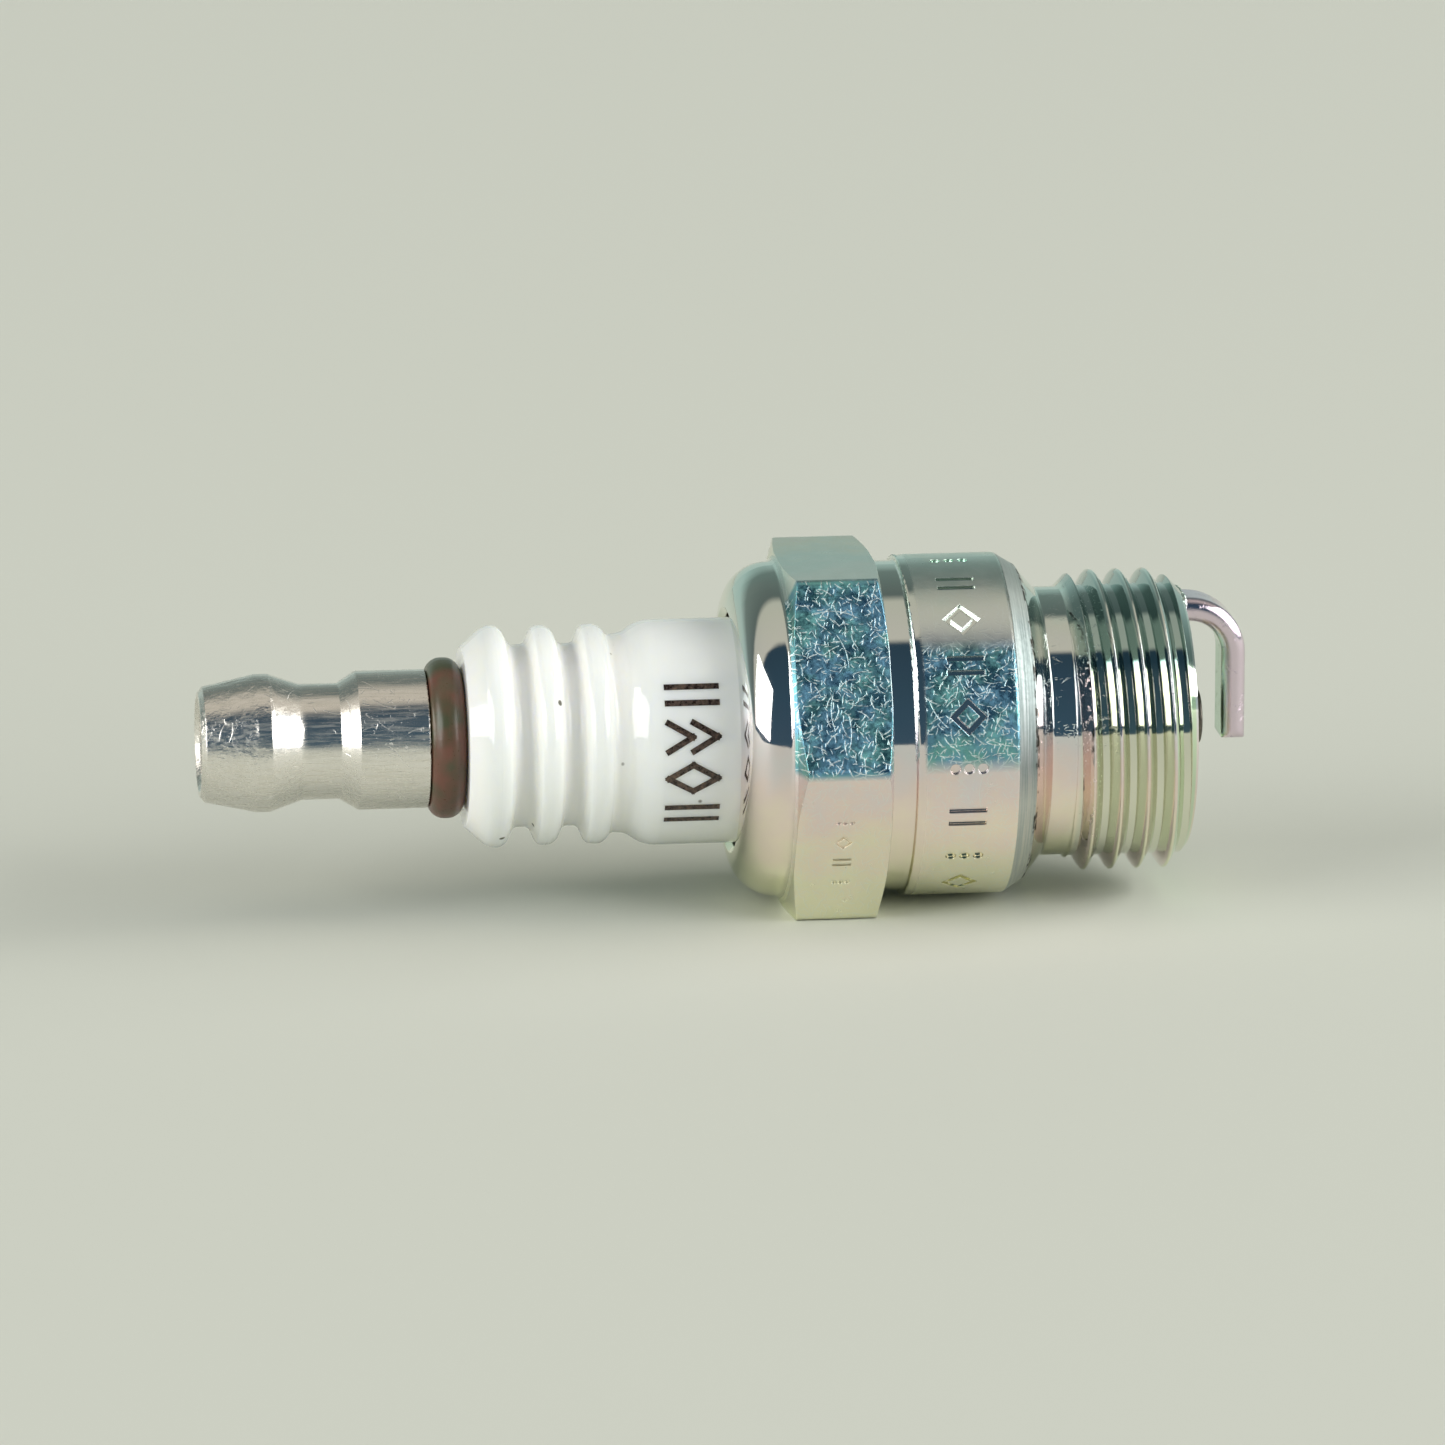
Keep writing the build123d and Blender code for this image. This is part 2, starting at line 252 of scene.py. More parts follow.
def makeScratches(tree, place, radius, families):
    # short, slightly bowed scratches on the face at this radius, each at its own angle
    # a family: cell size, half width and length in mm, the share of cells that have one, a turn in radians
    arc = addNode(tree, "Math", {"operation": "MULTIPLY", 1: radius}, {0: place["angle"]})
    unrolled = addNode(tree, "CombineXYZ", None, {"X": place["x"], "Y": arc})
    deepest = None
    for spacing, width, length, share, turn in families:
        cells = addNode(
            tree, "TexVoronoi", {"voronoi_dimensions": "2D", "Scale": 1 / spacing, "Randomness": 1.0},
            {"Vector": unrolled},
        )
        offset = addNode(
            tree, "VectorMath", {"operation": "SUBTRACT"}, {0: unrolled, 1: cells.outputs["Position"]}
        )
        chance = addNode(tree, "SeparateColor", None, {0: cells.outputs["Color"]})
        angle = addNode(tree, "Math", {"operation": "MULTIPLY_ADD", 1: 2 * math.pi, 2: turn}, {0: chance})
        turned = addNode(
            tree, "VectorRotate", {"rotation_type": "Z_AXIS"}, {"Vector": offset, "Angle": angle}
        )
        parts = addNode(tree, "SeparateXYZ", None, {0: turned})
        along = parts.outputs["X"]
        square = addNode(tree, "Math", {"operation": "MULTIPLY"}, {0: along, 1: along})
        bow = addNode(
            tree, "Math", {"operation": "MULTIPLY_ADD", 1: 0.35 / spacing},
            {0: square, 2: parts.outputs["Y"]},
        )
        side = addNode(tree, "Math", {"operation": "ABSOLUTE"}, {0: bow})
        line = addNode(tree, "MapRange", {1: width, 2: width * 0.3}, {0: side})
        reach = addNode(tree, "Math", {"operation": "ABSOLUTE"}, {0: along})
        ends = addNode(tree, "MapRange", {1: length / 2, 2: length / 3}, {0: reach})
        there = addNode(tree, "Math", {"operation": "LESS_THAN", 1: share}, {0: chance.outputs[1]})
        stroke = addNode(tree, "Math", {"operation": "MULTIPLY"}, {0: line, 1: ends})
        depth = addNode(tree, "Math", {"operation": "MULTIPLY"}, {0: stroke, 1: there})
        if deepest:
            depth = addNode(tree, "Math", {"operation": "MAXIMUM"}, {0: deepest, 1: depth})
        deepest = depth
    return deepest


print("zinc plate")
zincPlate = {
    # painted reflection tints of the passivate round the shell, set by the angle up from the camera's side,
    # in degrees
    "paintedReflectionTints": (
        (-180, "#e6dfe2"), (-130, "#e8ecd6"), (-80, "#e9ecca"), (-50, "#f0edd2"), (-28, "#f3e6d6"),
        (-10, "#f0dfda"), (6, "#e8e0e2"), (25, "#dfe3e4"), (60, "#dfe6de"), (90, "#d3e6de"),
        (115, "#e4e8d8"), (150, "#efe0dc"), (180, "#e6dfe2"),
    ),
    "tintDrift": 16 * degree,  # how far the tints wander
    "rubbedBlue": "#74a6c0",
    "rubbedTeal": "#79b6b4",
    "bare": "#e6f0ee",  # zinc under the tinted film, where a scratch goes through
    "flankBackPaintedReflection": "#f1e0dc",  # painted reflection tint of a thread flank that faces the terminal end
    "flankFrontPaintedReflection": "#cfe2c4",  # painted reflection tint of a thread flank that faces the firing end
    # painted shade: a darker teal on the thread's top
    "threadTopPaintedShade": "#adc2bd",
    "seatGrey": "#a7aeaa",
    "seatDarkerGrey": "#74807f",
    "grit": "#2e2a24",
    # painted shade and reflection on the strap: darker green inside the bend, lilac on its sides
    "strapInsidePaintedShade": "#a9c8af",
    "strapSidePaintedReflection": "#e2d2de",
    "roughness": 0.06,
    "hazeRoughness": 0.56,
    "seatRoughness": (0.42, 0.58),
    "scratchRoughness": 0.62,
    "strapRoughness": (0.1, 0.42),
    "radius": 7.9,  # mm, the barrel and hexagon, where the scratches have their true size
    "rubbedFrom": 7.8,  # mm; only what stands out this far from the axis is rubbed
    # arcs up from the camera's side: from, to and how softly they end
    "barrelRubbed": (2 * degree, 38 * degree, 5 * degree),
    "hexagonRubbed": (0, 60 * degree, 2 * degree),
    "seatDarkerArc": (-2 * degree, 50 * degree, 14 * degree),
    # the thread's top, where its darker teal is painted as shade
    "threadTopShadeArc": (38 * degree, 110 * degree, 6 * degree),
    # steps along the axis in mm: where one finish stops and where the next is full
    "barrelFrom": (-4.9, -4.7),
    "hexagonFrom": (-6.2, -6.35),
    "threadFrom": (2.5, 2.7),
    # stretches out from the axis or along it in mm: from, to and how softly they end
    "flankRadii": (6.2, 6.85, 0.08),
    "seat": (-0.45, 0.4, 0.05),
    "crease": (0.36, 0.5, 0.06),
    "relief": (1.5, 2.4, 0.1),
    "threadStart": (2.6, 3.7, 0.2),
    # cell, half width and length in mm, share, turn; twice as wide as real ones so that they show
    "scratches": (
        (0.7, 0.036, 0.8, 0.75, 0.0), (0.43, 0.034, 0.45, 0.75, 1.3),
        (0.27, 0.03, 0.25, 0.65, 2.2), (1.7, 0.03, 2.4, 0.5, 0.7),
    ),
    "edgeRound": 0.06 * mm,
    "strapEdgeRound": 0.3 * mm,
}


def zincColour(tree, place, rubbed, bared):
    # painted reflection tints that turn with the angle round the axis, rubbed blue, scratched bare, and on
    # the thread painted reflection tints by which way each flank faces and a painted darker top
    wander = addNode(
        tree, "TexNoise", {"Scale": 0.45, "Detail": 3.0, "Roughness": 0.6}, {"Vector": place["mm"]}
    )
    drift = addNode(
        tree, "MapRange", {1: 0.25, 2: 0.75, 3: -zincPlate["tintDrift"], 4: zincPlate["tintDrift"]},
        {0: wander},
    )
    turned = addNode(tree, "Math", {"operation": "ADD"}, {0: place["angle"], 1: drift})
    share = addNode(tree, "MapRange", {1: -math.pi, 2: math.pi}, {0: turned})
    # painted reflection: the film's tint is picked by the angle round the axis from the camera's side
    stops = [((degrees + 180) / 360, colour) for degrees, colour in zincPlate["paintedReflectionTints"]]
    paintedFilmSheen = addNode(tree, "ValToRGB", {"stops": stops}, {0: share})
    patches = addNode(
        tree, "TexNoise", {"Scale": 0.8, "Detail": 3.0, "Roughness": 0.6}, {"Vector": place["mm"]}
    )
    patch = addNode(tree, "MapRange", {1: 0.4, 2: 0.6}, {0: patches})
    blues = addNode(
        tree, "Mix",
        {"data_type": "RGBA", 6: hexColour(zincPlate["rubbedBlue"]), 7: hexColour(zincPlate["rubbedTeal"])},
        {0: patch},
    )
    worn = addNode(tree, "Mix", {"data_type": "RGBA"}, {0: rubbed, 6: paintedFilmSheen, 7: blues.outputs[2]})
    scratched = addNode(
        tree, "Mix", {"data_type": "RGBA", 7: hexColour(zincPlate["bare"])}, {0: bared, 6: worn.outputs[2]}
    )
    flankStart, flankFull = zincPlate["threadFrom"]
    pastRelief = addNode(tree, "MapRange", {1: flankStart, 2: flankFull}, {0: place["x"]})
    onFlanks = makeBand(tree, place["radius"], *zincPlate["flankRadii"])
    threaded = addNode(tree, "Math", {"operation": "MULTIPLY"}, {0: pastRelief, 1: onFlanks})
    # painted reflection: each flank's tint is picked by which way it faces
    facing = addNode(tree, "SeparateXYZ", None, {0: addNode(tree, "TexCoord").outputs["Normal"]})
    forward = addNode(tree, "MapRange", {1: -0.3, 2: 0.3}, {0: facing})
    paintedFlankReflections = addNode(
        tree, "Mix",
        {"data_type": "RGBA", 6: hexColour(zincPlate["flankBackPaintedReflection"]), 7: hexColour(zincPlate["flankFrontPaintedReflection"])},
        {0: forward},
    )
    # painted shade: the thread's top turns darker teal
    paintedDarkTop = makeBand(tree, place["angle"], *zincPlate["threadTopShadeArc"])
    paintedThreadTints = addNode(
        tree, "Mix", {"data_type": "RGBA", 7: hexColour(zincPlate["threadTopPaintedShade"])},
        {0: paintedDarkTop, 6: paintedFlankReflections.outputs[2]},
    )
    return addNode(
        tree, "Mix", {"data_type": "RGBA"}, {0: threaded, 6: scratched.outputs[2], 7: paintedThreadTints.outputs[2]}
    )


def seatColour(tree, place, seat, formed, under):
    # the seat is dull and streaked round, darker grey over an arc up from the camera's side, with grit in
    # the crease behind it
    streaks = addNode(tree, "TexNoise", {"Scale": 1.0, "Detail": 4.0, "Roughness": 0.6}, {"Vector": formed})
    share = addNode(tree, "MapRange", {1: 0.35, 2: 0.6, 3: 0.7, 4: 1.0}, {0: streaks})
    streaked = addNode(tree, "Math", {"operation": "MULTIPLY"}, {0: seat, 1: share})
    # darker grey over an arc up from the camera's side
    darkerArc = makeBand(tree, place["angle"], *zincPlate["seatDarkerArc"])
    greys = addNode(
        tree, "Mix",
        {"data_type": "RGBA", 6: hexColour(zincPlate["seatGrey"]), 7: hexColour(zincPlate["seatDarkerGrey"])},
        {0: darkerArc},
    )
    dull = addNode(
        tree, "Mix", {"data_type": "RGBA"}, {0: streaked, 6: under.outputs[2], 7: greys.outputs[2]}
    )
    crumbs = addNode(
        tree, "TexNoise", {"Scale": 1.6, "Detail": 4.0, "Roughness": 0.6}, {"Vector": place["mm"]}
    )
    caught = addNode(tree, "MapRange", {1: 0.48, 2: 0.58}, {0: crumbs})
    crease = makeBand(tree, place["x"], *zincPlate["crease"])
    grit = addNode(tree, "Math", {"operation": "MULTIPLY"}, {0: crease, 1: caught})
    return addNode(
        tree, "Mix", {"data_type": "RGBA", 7: hexColour(zincPlate["grit"])}, {0: grit, 6: dull.outputs[2]}
    )


def makeZincPlate():
    # bright clear-passivated zinc: mirror-like, with painted reflection tints round it by angle, hazy and
    # scratched where it is handled
    material, tree = newMaterial("brightZincPlate")
    place = turnedPlace(tree)
    barrelStart, barrelFull = zincPlate["barrelFrom"]
    onBarrel = addNode(tree, "MapRange", {1: barrelStart, 2: barrelFull}, {0: place["x"]})
    hexagonStart, hexagonFull = zincPlate["hexagonFrom"]
    onHexagon = addNode(tree, "MapRange", {1: hexagonStart, 2: hexagonFull}, {0: place["x"]})
    rubbedFrom = zincPlate["rubbedFrom"]
    standsOut = addNode(tree, "MapRange", {1: rubbedFrom, 2: rubbedFrom + 0.06}, {0: place["radius"]})
    either = addNode(tree, "Math", {"operation": "MAXIMUM"}, {0: onBarrel, 1: onHexagon})
    handled = addNode(tree, "Math", {"operation": "MULTIPLY"}, {0: either, 1: standsOut})
    barrelArc = makeBand(tree, place["angle"], *zincPlate["barrelRubbed"])
    barrelFront = addNode(tree, "Math", {"operation": "MULTIPLY"}, {0: onBarrel, 1: barrelArc})
    hexagonArc = makeBand(tree, place["angle"], *zincPlate["hexagonRubbed"])
    hexagonFront = addNode(tree, "Math", {"operation": "MULTIPLY"}, {0: onHexagon, 1: hexagonArc})
    upperFront = addNode(tree, "Math", {"operation": "MAXIMUM"}, {0: barrelFront, 1: hexagonFront})
    # haze: patchy on the rubbed side, even elsewhere
    fine = addNode(
        tree, "TexNoise", {"Scale": 5.5, "Detail": 5.0, "Roughness": 0.7}, {"Vector": place["mm"]}
    )
    cloud = addNode(
        tree, "TexNoise", {"Scale": 1.1, "Detail": 4.0, "Roughness": 0.65}, {"Vector": place["mm"]}
    )
    broad = addNode(tree, "MapRange", {1: 0.35, 2: 0.62, 3: 0.4, 4: 1.0}, {0: cloud})
    close = addNode(tree, "MapRange", {1: 0.38, 2: 0.6, 3: 0.62, 4: 1.0}, {0: fine})
    patchy = addNode(tree, "Math", {"operation": "MULTIPLY"}, {0: broad, 1: close})
    calm = addNode(tree, "MapRange", {1: 0.3, 2: 0.7, 3: 0.42, 4: 0.58}, {0: cloud})
    haze = addNode(tree, "Mix", None, {0: upperFront, 2: calm, 3: patchy})
    # scratches where it is handled, a few in the relief, and pits where the thread starts
    scratches = makeScratches(tree, place, zincPlate["radius"], zincPlate["scratches"])
    relief = makeBand(tree, place["x"], *zincPlate["relief"])
    reliefPatch = addNode(tree, "MapRange", {1: 0.45, 2: 0.6}, {0: cloud})
    knocked = addNode(tree, "Math", {"operation": "MULTIPLY"}, {0: relief, 1: reliefPatch})
    nicked = addNode(tree, "Math", {"operation": "MAXIMUM"}, {0: handled, 1: knocked})
    cut = addNode(tree, "Math", {"operation": "MULTIPLY"}, {0: scratches, 1: nicked})
    pressure = addNode(tree, "MapRange", {1: 0.35, 2: 0.6, 3: 0.5, 4: 1}, {0: fine})
    uneven = addNode(tree, "Math", {"operation": "MULTIPLY"}, {0: cut, 1: pressure})
    wear = addNode(tree, "MapRange", {3: 0.35}, {0: upperFront})
    marked = addNode(tree, "Math", {"operation": "MULTIPLY"}, {0: uneven, 1: wear})
    grains = addNode(
        tree, "TexNoise", {"Scale": 4.3, "Detail": 5.0, "Roughness": 0.75}, {"Vector": place["mm"]}
    )
    holes = addNode(tree, "MapRange", {1: 0.6, 2: 0.68}, {0: grains})
    threadStart = makeBand(tree, place["x"], *zincPlate["threadStart"])
    pits = addNode(tree, "Math", {"operation": "MULTIPLY"}, {0: holes, 1: threadStart})
    dinged = addNode(tree, "Math", {"operation": "MAXIMUM"}, {0: marked, 1: pits})
    # roughness
    seat = makeBand(tree, place["x"], *zincPlate["seat"])
    hazed = addNode(tree, "Math", {"operation": "MULTIPLY"}, {0: haze, 1: handled})
    hazeRough = addNode(
        tree, "MapRange", {3: zincPlate["roughness"], 4: zincPlate["hazeRoughness"]}, {0: hazed}
    )
    seatSmooth, seatDull = zincPlate["seatRoughness"]
    ground = addNode(tree, "MapRange", {1: 0.3, 2: 0.7, 3: seatSmooth, 4: seatDull}, {0: fine})
    seatRough = addNode(tree, "Math", {"operation": "MULTIPLY"}, {0: ground, 1: seat})
    cutRough = addNode(tree, "MapRange", {4: zincPlate["scratchRoughness"]}, {0: dinged})
    rougher = addNode(tree, "Math", {"operation": "MAXIMUM"}, {0: hazeRough, 1: seatRough})
    rough = addNode(tree, "Math", {"operation": "MAXIMUM"}, {0: rougher, 1: cutRough})
    # colour
    rubbed = addNode(tree, "Math", {"operation": "MULTIPLY"}, {0: handled, 1: upperFront})
    formed = addNode(
        tree, "VectorMath", {"operation": "MULTIPLY", 1: (14.0, 0.25, 0.25)}, {0: place["mm"]}
    )
    plated = zincColour(tree, place, rubbed, marked)
    colour = seatColour(tree, place, seat, formed, plated)
    # bumps: a fine skin, rings from forming on the seat, and the cuts
    edges = addNode(tree, "Bevel", {"samples": 4, "Radius": zincPlate["edgeRound"]})
    skin = addNode(
        tree, "Bump", {"Strength": 0.12, "Distance": 0.004 * mm}, {"Height": fine, "Normal": edges}
    )
    rings = addNode(tree, "TexNoise", {"Scale": 1.0, "Detail": 2.0, "Roughness": 0.6}, {"Vector": formed})
    seatRings = addNode(tree, "Math", {"operation": "MULTIPLY"}, {0: rings, 1: seat})
    ringed = addNode(
        tree, "Bump", {"Strength": 0.5, "Distance": 0.03 * mm}, {"Height": seatRings, "Normal": skin}
    )
    scored = addNode(
        tree, "Bump", {"Strength": 0.6, "Distance": 0.01 * mm, "invert": True},
        {"Height": dinged, "Normal": ringed},
    )
    finishMaterial(
        tree, {"Metallic": 1.0}, {"Base Color": colour.outputs[2], "Roughness": rough, "Normal": scored}
    )
    return material


def makeZincStrap():
    # the same plate on the bent strap, with painted shade and reflection: a darker green painted on the
    # face towards the gap, a floor-reflecting lilac painted on its sides
    material, tree = newMaterial("brightZincStrap")
    place = placeInMm(tree)
    facing = addNode(tree, "SeparateXYZ", None, {0: addNode(tree, "TexCoord").outputs["Normal"]})
    wander = addNode(tree, "TexNoise", {"Scale": 0.9, "Detail": 3.0, "Roughness": 0.6}, {"Vector": place})
    wobble = addNode(
        tree, "Math", {"operation": "MULTIPLY_ADD", 1: 0.5}, {0: wander, 2: facing.outputs["X"]}
    )
    # painted shade and reflection: which way the face turns picks green or lilac
    side = addNode(tree, "MapRange", {1: -0.6, 2: 0.0}, {0: wobble})
    colour = addNode(
        tree, "Mix",
        {"data_type": "RGBA", 6: hexColour(zincPlate["strapInsidePaintedShade"]), 7: hexColour(zincPlate["strapSidePaintedReflection"])},
        {0: side},
    )
    fine = addNode(tree, "TexNoise", {"Scale": 6.0, "Detail": 4.0, "Roughness": 0.6}, {"Vector": place})
    rubs = addNode(tree, "TexNoise", {"Scale": 1.8, "Detail": 5.0, "Roughness": 0.7}, {"Vector": place})
    scuff = addNode(tree, "MapRange", {1: 0.58, 2: 0.68}, {0: rubs})
    smooth, scuffed = zincPlate["strapRoughness"]
    rough = addNode(tree, "MapRange", {3: smooth, 4: scuffed}, {0: scuff})
    edges = addNode(tree, "Bevel", {"samples": 4, "Radius": zincPlate["strapEdgeRound"]})
    skin = addNode(
        tree, "Bump", {"Strength": 0.3, "Distance": 0.008 * mm}, {"Height": fine, "Normal": edges}
    )
    dent = addNode(
        tree, "Bump", {"Strength": 0.5, "Distance": 0.012 * mm, "invert": True},
        {"Height": scuff, "Normal": skin},
    )
    finishMaterial(
        tree, {"Metallic": 1.0}, {"Base Color": colour.outputs[2], "Roughness": rough, "Normal": dent}
    )
    return material


print("aluminium nut")
turnedAluminium = {
    "colour": "#f2eee9",
    "dull": "#e6e1d6",
    "feed": 0.13,  # mm between tool marks, drawn coarser than the real 0.05 so that they show
    "roughness": (0.18, 0.42),
    "markRoughness": 0.4,
    "radius": 3.1,  # mm, where the scratches have their true size
    # stretches along the axis in mm: from, to and how softly they end
    "dinged": (-37.3, -34.1, 0.2),  # the end that leads are pushed over
    "nicked": (-30.1, -27, 0.1),  # the base
    # cell, half width and length in mm, share, turn
    "scratches": ((1.1, 0.03, 1.2, 0.3, 0.2), (0.6, 0.035, 0.35, 0.25, 1.9)),
    "edgeRound": 0.06 * mm,
}


def makeTurnedAluminium():
    # bright turned bar: rings from the tool, drag marks along it, dings on the end that leads push over
    material, tree = newMaterial("turnedAluminium")
    place = turnedPlace(tree)
    ringPlace = addNode(
        tree, "VectorMath", {"operation": "MULTIPLY", 1: (1 / turnedAluminium["feed"], 0.2, 0.2)},
        {0: place["mm"]},
    )
    rings = addNode(
        tree, "TexNoise", {"Scale": 1.0, "Detail": 3.0, "Roughness": 0.7}, {"Vector": ringPlace}
    )
    dragPlace = addNode(
        tree, "VectorMath", {"operation": "MULTIPLY", 1: (0.6, 9.0, 9.0)}, {0: place["mm"]}
    )
    streaks = addNode(
        tree, "TexNoise", {"Scale": 1.0, "Detail": 4.0, "Roughness": 0.65}, {"Vector": dragPlace}
    )
    drags = addNode(tree, "MapRange", {1: 0.38, 2: 0.76}, {0: streaks})
    blotches = addNode(
        tree, "TexNoise", {"Scale": 1.5, "Detail": 5.0, "Roughness": 0.6}, {"Vector": place["mm"]}
    )
    blotch = addNode(tree, "MapRange", {1: 0.46, 2: 0.66}, {0: blotches})
    head = makeBand(tree, place["x"], *turnedAluminium["dinged"])
    dings = addNode(tree, "Math", {"operation": "MULTIPLY"}, {0: blotch, 1: head})
    grains = addNode(
        tree, "TexNoise", {"Scale": 4.5, "Detail": 5.0, "Roughness": 0.75}, {"Vector": place["mm"]}
    )
    grain = addNode(tree, "MapRange", {1: 0.6, 2: 0.68}, {0: grains})
    base = makeBand(tree, place["x"], *turnedAluminium["nicked"])
    nicks = addNode(tree, "Math", {"operation": "MULTIPLY"}, {0: grain, 1: base})
    pull = addNode(tree, "MapRange", {3: 0.5}, {0: drags})
    pulled = addNode(tree, "Math", {"operation": "MULTIPLY"}, {0: nicks, 1: pull})
    scratches = makeScratches(tree, place, turnedAluminium["radius"], turnedAluminium["scratches"])
    marks = addNode(tree, "Math", {"operation": "MAXIMUM"}, {0: scratches, 1: pulled})
    colour = addNode(
        tree, "Mix",
        {
            "data_type": "RGBA",
            6: hexColour(turnedAluminium["colour"]),
            7: hexColour(turnedAluminium["dull"]),
        },
        {0: drags},
    )
    smooth, dull = turnedAluminium["roughness"]
    dragRough = addNode(tree, "MapRange", {3: smooth, 4: dull}, {0: drags})
    markRough = addNode(tree, "MapRange", {4: turnedAluminium["markRoughness"]}, {0: marks})
    rough = addNode(tree, "Math", {"operation": "MAXIMUM"}, {0: dragRough, 1: markRough})
    edges = addNode(tree, "Bevel", {"samples": 4, "Radius": turnedAluminium["edgeRound"]})
    bump = addNode(
        tree, "Bump", {"Strength": 0.3, "Distance": 0.006 * mm}, {"Height": rings, "Normal": edges}
    )
    dents = addNode(
        tree, "Bump", {"Strength": 0.5, "Distance": 0.03 * mm, "invert": True},
        {"Height": dings, "Normal": bump},
    )
    cuts = addNode(
        tree, "Bump", {"Strength": 0.5, "Distance": 0.012 * mm, "invert": True},
        {"Height": marks, "Normal": dents},
    )
    finishMaterial(
        tree, {"Metallic": 1.0}, {"Base Color": colour.outputs[2], "Roughness": rough, "Normal": cuts}
    )
    return material


print("glazed alumina")
glazedAlumina = {
    "body": "#e7eae9",
    "paintedValleyLight": "#fcfcf6",  # painted light: lighter in the valleys between ribs, standing in for light through the thin necks
    "valleyRadius": (5.0, 4.2),  # mm from the axis, where the painted valley light starts and is full
    "speck": "#6b665a",
    "speckScale": 0.45,  # cells per mm, with a speck in each
    "speckRadius": (0.075, 0.05),  # of a cell, where a speck starts and is full
    "roughness": 0.04,
    "scatter": 0.9 * mm,  # light goes this far into the white body under the glaze
}


def makeGlazedAlumina():
    # dense white body under a clear fired glaze: soft inside, glassy and faintly rippled outside, with
    # painted light in the valleys
    material, tree = newMaterial("glazedAlumina")
    place = turnedPlace(tree)
    cloud = addNode(tree, "TexNoise", {"Scale": 0.35, "Detail": 2.0}, {"Vector": place["mm"]})
    valleyFrom, valleyTo = glazedAlumina["valleyRadius"]
    # painted light: the body gets lighter towards the valleys between the ribs
    paintedValleyLight = addNode(tree, "MapRange", {1: valleyFrom, 2: valleyTo}, {0: place["radius"]})
    light = addNode(tree, "Math", {"operation": "MULTIPLY_ADD", 1: 0.3}, {0: cloud, 2: paintedValleyLight})
    body = addNode(
        tree, "Mix",
        {"data_type": "RGBA", 6: hexColour(glazedAlumina["body"]), 7: hexColour(glazedAlumina["paintedValleyLight"])},
        {0: light},
    )
    # a few specks of iron fired into the glaze
    specks = addNode(
        tree, "TexVoronoi", {"Scale": glazedAlumina["speckScale"], "Randomness": 1.0},
        {"Vector": place["mm"]},
    )
    speckFrom, speckTo = glazedAlumina["speckRadius"]
    speck = addNode(tree, "MapRange", {1: speckFrom, 2: speckTo}, {0: specks.outputs["Distance"]})
    colour = addNode(
        tree, "Mix", {"data_type": "RGBA", 7: hexColour(glazedAlumina["speck"])},
        {0: speck, 6: body.outputs[2]},
    )
    ripple = addNode(tree, "TexNoise", {"Scale": 1.4, "Detail": 2.0}, {"Vector": place["mm"]})
    bump = addNode(tree, "Bump", {"Strength": 0.2, "Distance": 0.02 * mm}, {"Height": ripple})
    finishMaterial(
        tree,
        {
            "Roughness": glazedAlumina["roughness"],
            "IOR": 1.52,
            "Subsurface Weight": 0.8,
            "Subsurface Scale": glazedAlumina["scatter"],
            "Subsurface Radius": (1.0, 0.95, 0.8),
        },
        {"Base Color": colour.outputs[2], "Normal": bump},
    )
    return material


print("sealing ring")
mouldedRing = {
    "brown": "#6c473a",
    # darker olive: a random tone in the rubber, and the painted shade on its top
    "oliveToneAndTopShade": "#474a35",
    "paintedTopShadeArc": (78 * degree, 150 * degree, 14 * degree),  # up from the camera's side; the top, where a darker olive shade is painted
    "roughness": (0.2, 0.43),
}


def makeMouldedRing():
    # dense brown rubber with a satin skin, with a darker olive shade painted on its top
    material, tree = newMaterial("mouldedFluoroelastomer")
    place = turnedPlace(tree)
    # painted shade: darker and towards olive over the top
    paintedDarkTop = makeBand(tree, place["angle"], *mouldedRing["paintedTopShadeArc"])
    darker = addNode(tree, "MapRange", {3: 1.12, 4: 0.55}, {0: paintedDarkTop})
    cloud = addNode(
        tree, "TexNoise", {"Scale": 0.55, "Detail": 3.0, "Roughness": 0.5}, {"Vector": place["mm"]}
    )
    shade = addNode(tree, "Math", {"operation": "MULTIPLY"}, {0: cloud, 1: darker})
    stops = ((0.35, mouldedRing["oliveToneAndTopShade"]), (0.6, mouldedRing["brown"]))
    colours = addNode(tree, "ValToRGB", {"stops": stops}, {0: shade})
    grain = addNode(tree, "TexNoise", {"Scale": 9.0, "Detail": 4.0}, {"Vector": place["mm"]})
    smooth, dull = mouldedRing["roughness"]
    rough = addNode(tree, "MapRange", {3: smooth, 4: dull}, {0: grain})
    bump = addNode(tree, "Bump", {"Strength": 0.3, "Distance": 0.01 * mm}, {"Height": grain})
    finishMaterial(tree, {"IOR": 1.5}, {"Base Color": colours, "Roughness": rough, "Normal": bump})
    return material


print("inner pieces")
innerFinishes = {
    # node: material name, darker and lighter colour, metallic, roughness, grains per mm
    "terminal_stud": ("rolledSteel", "#8d8c88", "#b4b2ac", 1.0, 0.3, 5.0),
    "center_electrode": ("nickelAlloy", "#5c5852", "#7b766d", 1.0, 0.4, 8.0),
    "copper_core": ("drawnCopper", "#a86a48", "#c98e68", 1.0, 0.3, 4.0),
    "glass_seal": ("fusedGlass", "#211d1b", "#37302b", 0.0, 0.25, 3.0),
    "seat_gasket": ("softSteel", "#77777a", "#99999a", 1.0, 0.4, 6.0),
    "lower_packing_ring": ("drawnWire", "#77777a", "#99999a", 1.0, 0.4, 6.0),
    "upper_packing_ring": ("drawnWireRing", "#77777a", "#99999a", 1.0, 0.4, 6.0),
    "talc_filler": ("pressedTalc", "#cfcec4", "#e2e0d6", 0.0, 0.8, 2.0),
}


